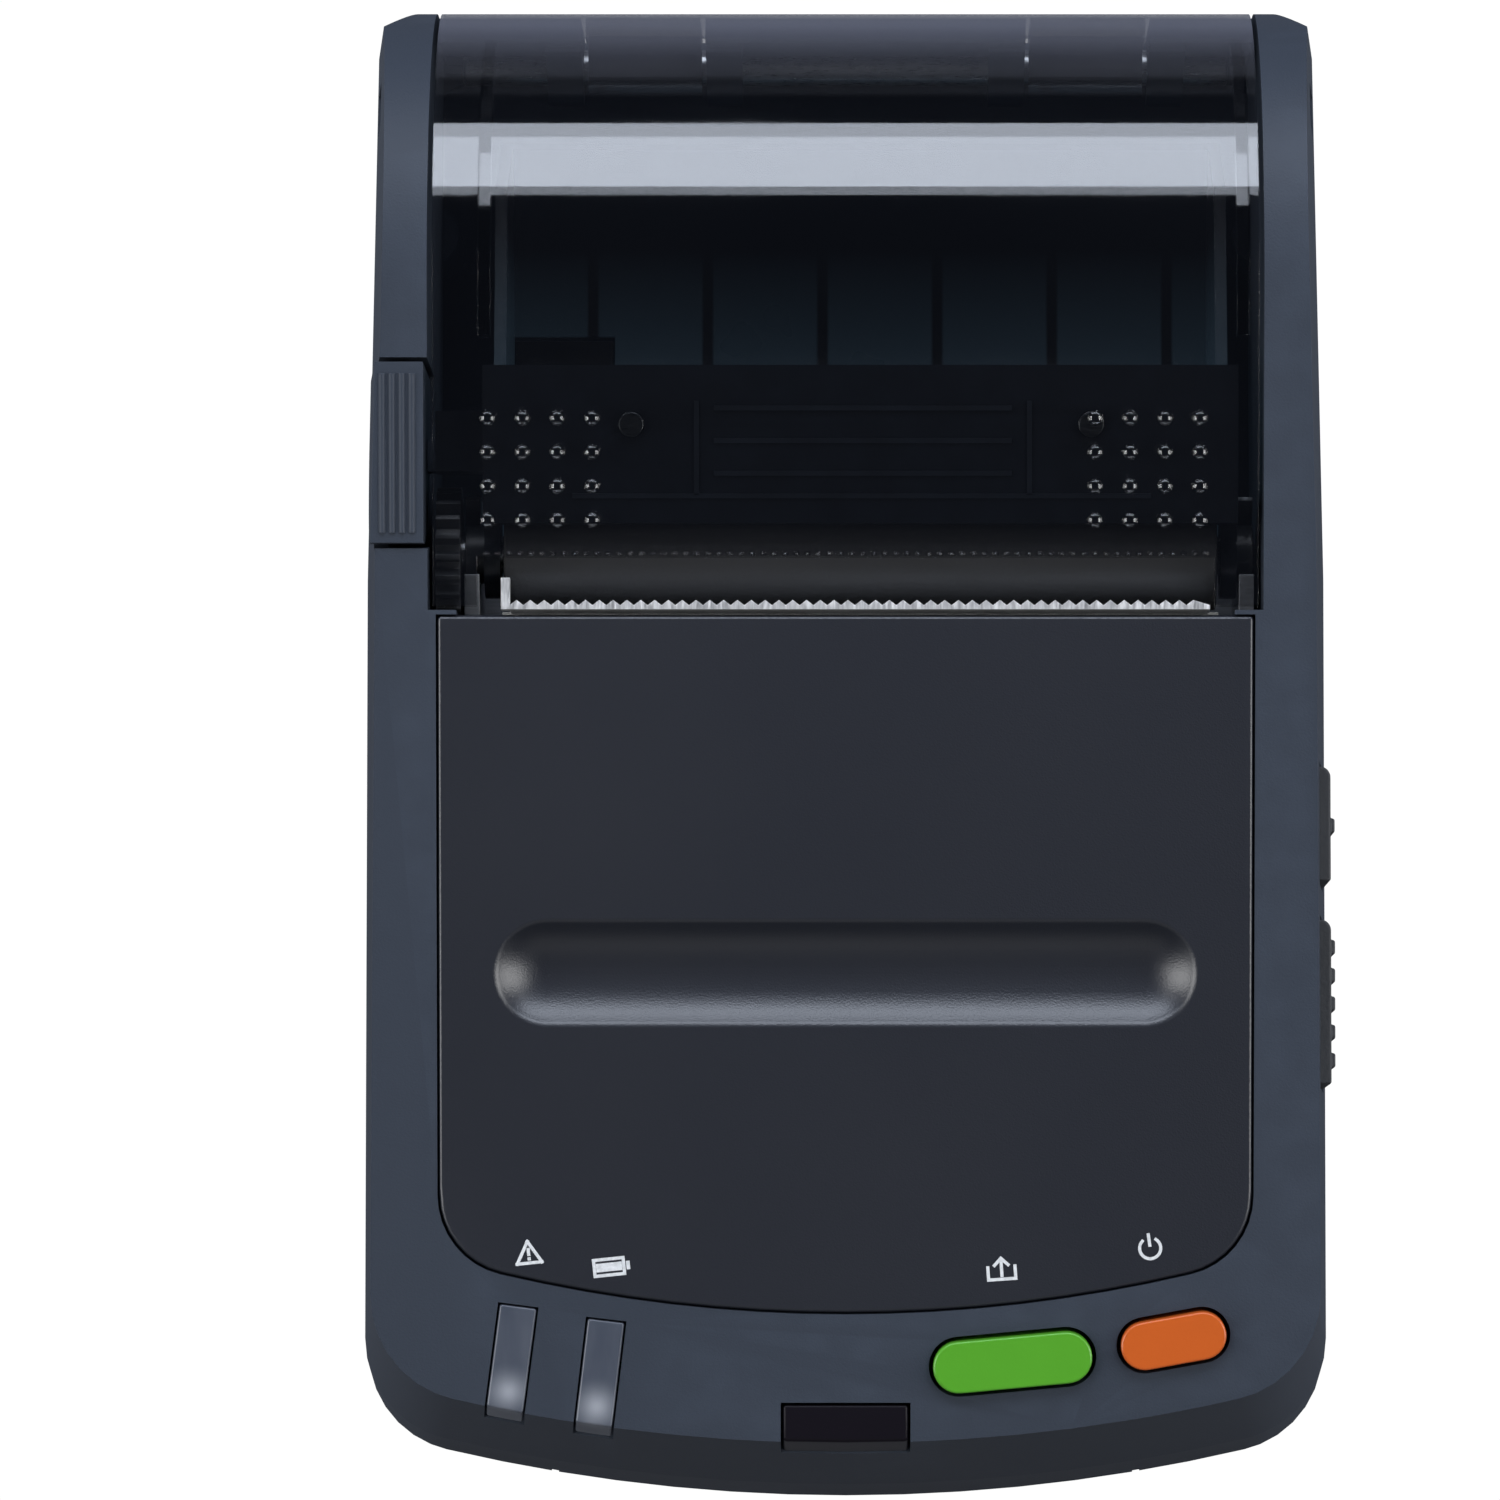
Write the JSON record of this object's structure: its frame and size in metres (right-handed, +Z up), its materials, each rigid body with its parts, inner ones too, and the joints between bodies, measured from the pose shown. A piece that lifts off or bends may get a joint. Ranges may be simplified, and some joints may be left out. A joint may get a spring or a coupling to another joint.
{
  "type": "mobile label printer",
  "caption": "Handheld thermal printer for rolls of labels or receipts, with a smoked cover over the roll bay, a tear bar, two buttons and a sliding battery door.",
  "frame": {"origin": "middle of the feet's underside, under the middle of the whole printer", "axes": "+X to the right, +Y to the hinge at the back, +Z up"},
  "size_m": [0.08, 0.122, 0.047],
  "materials": {
    "case_plastic": "fine matte texture",
    "panel_plastic": "fine matte texture",
    "ir_plastic": "glossy",
    "light_pipe": "satin, translucent",
    "green_plastic": "satin",
    "orange_plastic": "satin",
    "clear_cover": "glossy smoked plastic",
    "black_plastic": "matte",
    "tray_plastic": "satin",
    "steel": "satin",
    "dark_steel": "dark satin",
    "bright_steel": "bright",
    "platen_rubber": "ground",
    "gear_plastic": "satin",
    "brass": "satin",
    "motor_can": "satin",
    "frame_metal": "satin",
    "aluminium": "satin",
    "ceramic": "glazed",
    "board": "solder mask",
    "led": "clear",
    "flap_rubber": "matte",
    "battery_wrap": "shrink film",
    "foot_rubber": "matte"
  },
  "bodies": {
    "case": {"lower_case": "case_plastic", "upper_case": "case_plastic", "top_panel": "panel_plastic", "ir_window": "ir_plastic", "error_light_pipe": "light_pipe", "power_light_pipe": "light_pipe", "lever_pin": "steel", "hinge_pin": "steel", "idler_shaft": "steel", "feed_motor": "motor_can", "mech_frame": "frame_metal", "mech_screws": "steel", "head_springs": "steel", "tear_bar": "bright_steel", "paper_tray": "tray_plastic", "roll_sensor": "black_plastic", "main_board": "board", "board_chips": "black_plastic", "board_screws": "steel", "tact_switches": "steel", "status_leds": "led", "ir_transceiver": "ir_plastic", "adapter_jack": "black_plastic", "interface_socket": "bright_steel", "battery_pack": "battery_wrap", "battery_contacts": "brass", "rubber_feet": "foot_rubber", "case_screws": "steel"},
    "feed_button": {"feed_button": "green_plastic"},
    "power_button": {"power_button": "orange_plastic"},
    "lever": {"release_lever": "case_plastic"},
    "cover": {"paper_cover": "clear_cover", "platen_frame": "black_plastic", "cover_screws": "dark_steel", "platen_bushings": "gear_plastic"},
    "platen": {"platen_roller": "platen_rubber", "platen_shaft": "steel", "platen_gear": "gear_plastic"},
    "idler": {"idler_gear": "gear_plastic"},
    "rotor": {"motor_pinion": "brass", "motor_shaft": "steel"},
    "print_head": {"head_heat_sink": "aluminium", "thermal_head": "ceramic"},
    "jack_cover": {"jack_cover": "flap_rubber"},
    "interface_cover": {"interface_cover": "flap_rubber"},
    "battery_door": {"battery_door": "case_plastic"}
  },
  "joints": [
    {"name": "cover_hinge", "type": "hinge", "parent": "case", "child": "cover", "pos_m": [0, 0.0584, 0.0126], "axis": [-1, 0, 0], "range_deg": [0, 100]},
    {"name": "platen_spin", "type": "hinge", "parent": "cover", "child": "platen", "pos_m": [0, 0.0153, 0.03614], "axis": [1, 0, 0], "continuous": true},
    {"name": "idler_spin", "type": "hinge", "parent": "case", "child": "idler", "pos_m": [0, 0.00961, 0.02572], "axis": [1, 0, 0], "continuous": true},
    {"name": "motor_spin", "type": "hinge", "parent": "case", "child": "rotor", "pos_m": [0, 0.00961, 0.01585], "axis": [1, 0, 0], "continuous": true},
    {"name": "head_tilt", "type": "hinge", "parent": "case", "child": "print_head", "pos_m": [0, 0.0085, 0.02914], "axis": [1, 0, 0], "range_deg": [0, 3], "stiffness_Nm_per_rad": 1, "springref_deg": -5.73, "deforming": ["head_springs"]},
    {"name": "lever_lift", "type": "hinge", "parent": "case", "child": "lever", "pos_m": [0, 0.028, 0.04377], "axis": [-1, 0, 0], "range_deg": [0, 8], "stiffness_Nm_per_rad": 0.02, "springref_deg": -11.46},
    {"name": "feed_button_press", "type": "slide", "parent": "case", "child": "feed_button", "axis": [0, 0.1426, -0.9898], "range_m": [0, 0.0006], "stiffness_N_per_m": 600, "springref_m": -0.0004},
    {"name": "power_button_press", "type": "slide", "parent": "case", "child": "power_button", "axis": [0, 0.1426, -0.9898], "range_m": [0, 0.0006], "stiffness_N_per_m": 600, "springref_m": -0.0004},
    {"name": "jack_cover_swing", "type": "hinge", "parent": "case", "child": "jack_cover", "pos_m": [0.0385, -0.00265, 0], "axis": [0, 0, 1], "range_deg": [0, 90]},
    {"name": "interface_cover_swing", "type": "hinge", "parent": "case", "child": "interface_cover", "pos_m": [0.0385, -0.0151, 0], "axis": [0, 0, 1], "range_deg": [0, 90]},
    {"name": "battery_door_slide", "type": "slide", "parent": "case", "child": "battery_door", "axis": [0, -1, 0], "range_m": [0, 0.042]}
  ],
  "couplings": [
    {"joint": "idler_spin", "follows": "platen_spin", "ratio": -0.74074},
    {"joint": "motor_spin", "follows": "platen_spin", "ratio": 1.6667}
  ]
}
